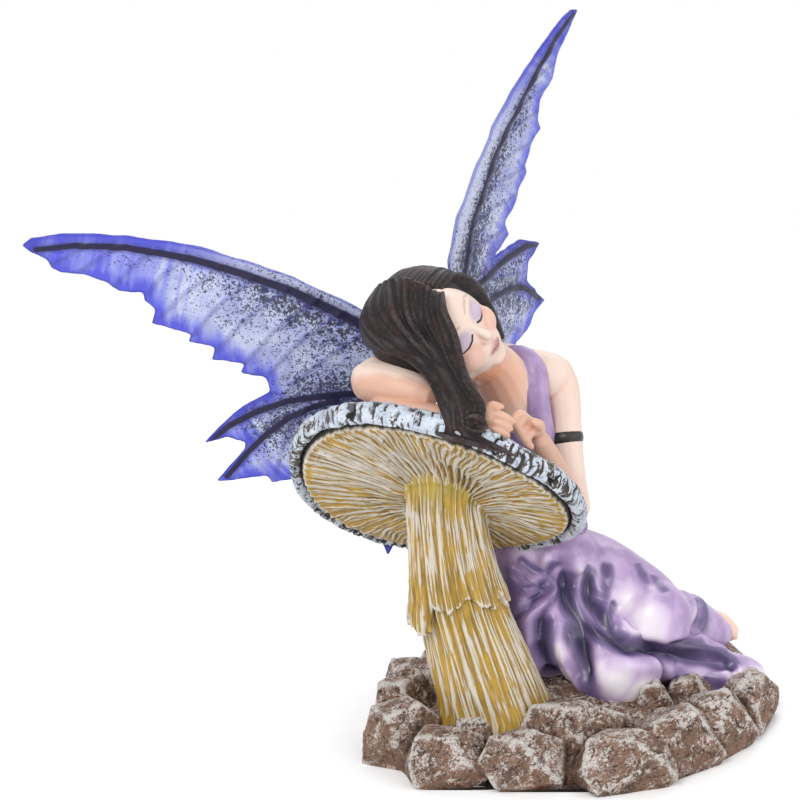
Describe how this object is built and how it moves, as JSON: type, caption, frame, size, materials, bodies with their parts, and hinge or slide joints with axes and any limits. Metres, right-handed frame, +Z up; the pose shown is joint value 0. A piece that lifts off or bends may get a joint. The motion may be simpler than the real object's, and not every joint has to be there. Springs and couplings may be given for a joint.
{
  "type": "fantasy figurine",
  "caption": "Painted cast figurine of a winged fairy asleep over a tilted mushroom on a ring of cobbles, for standing on a shelf.",
  "frame": {"origin": "on the flat underside of the cobbled base, near its middle", "axes": "+Z up; +X to the viewer's right as the mushroom's gills face the viewer; +Y away from the viewer; -Y is the front"},
  "size_m": [0.1651, 0.0905, 0.1497],
  "materials": {
    "mushroom": "cast resin, hand painted ochre and dry-brushed off-white, satin",
    "wing": "cast resin, airbrushed blue-violet with black speckle, satin",
    "stone": "cast resin, painted brown and dry-brushed grey, matt",
    "cap_rim": "cast resin, blue-grey dry-brush over near-black, matt",
    "skin": "cast resin, pale peach paint with airbrushed shading, satin",
    "hair": "cast resin, near-black paint, semi-gloss",
    "dress": "cast resin, pearl lilac airbrush with cream highlights, semi-gloss"
  },
  "bodies": {
    "root": {"fairy_and_mushroom": "mushroom", "left_wing": "wing", "right_wing": "wing"}
  },
  "joints": []
}
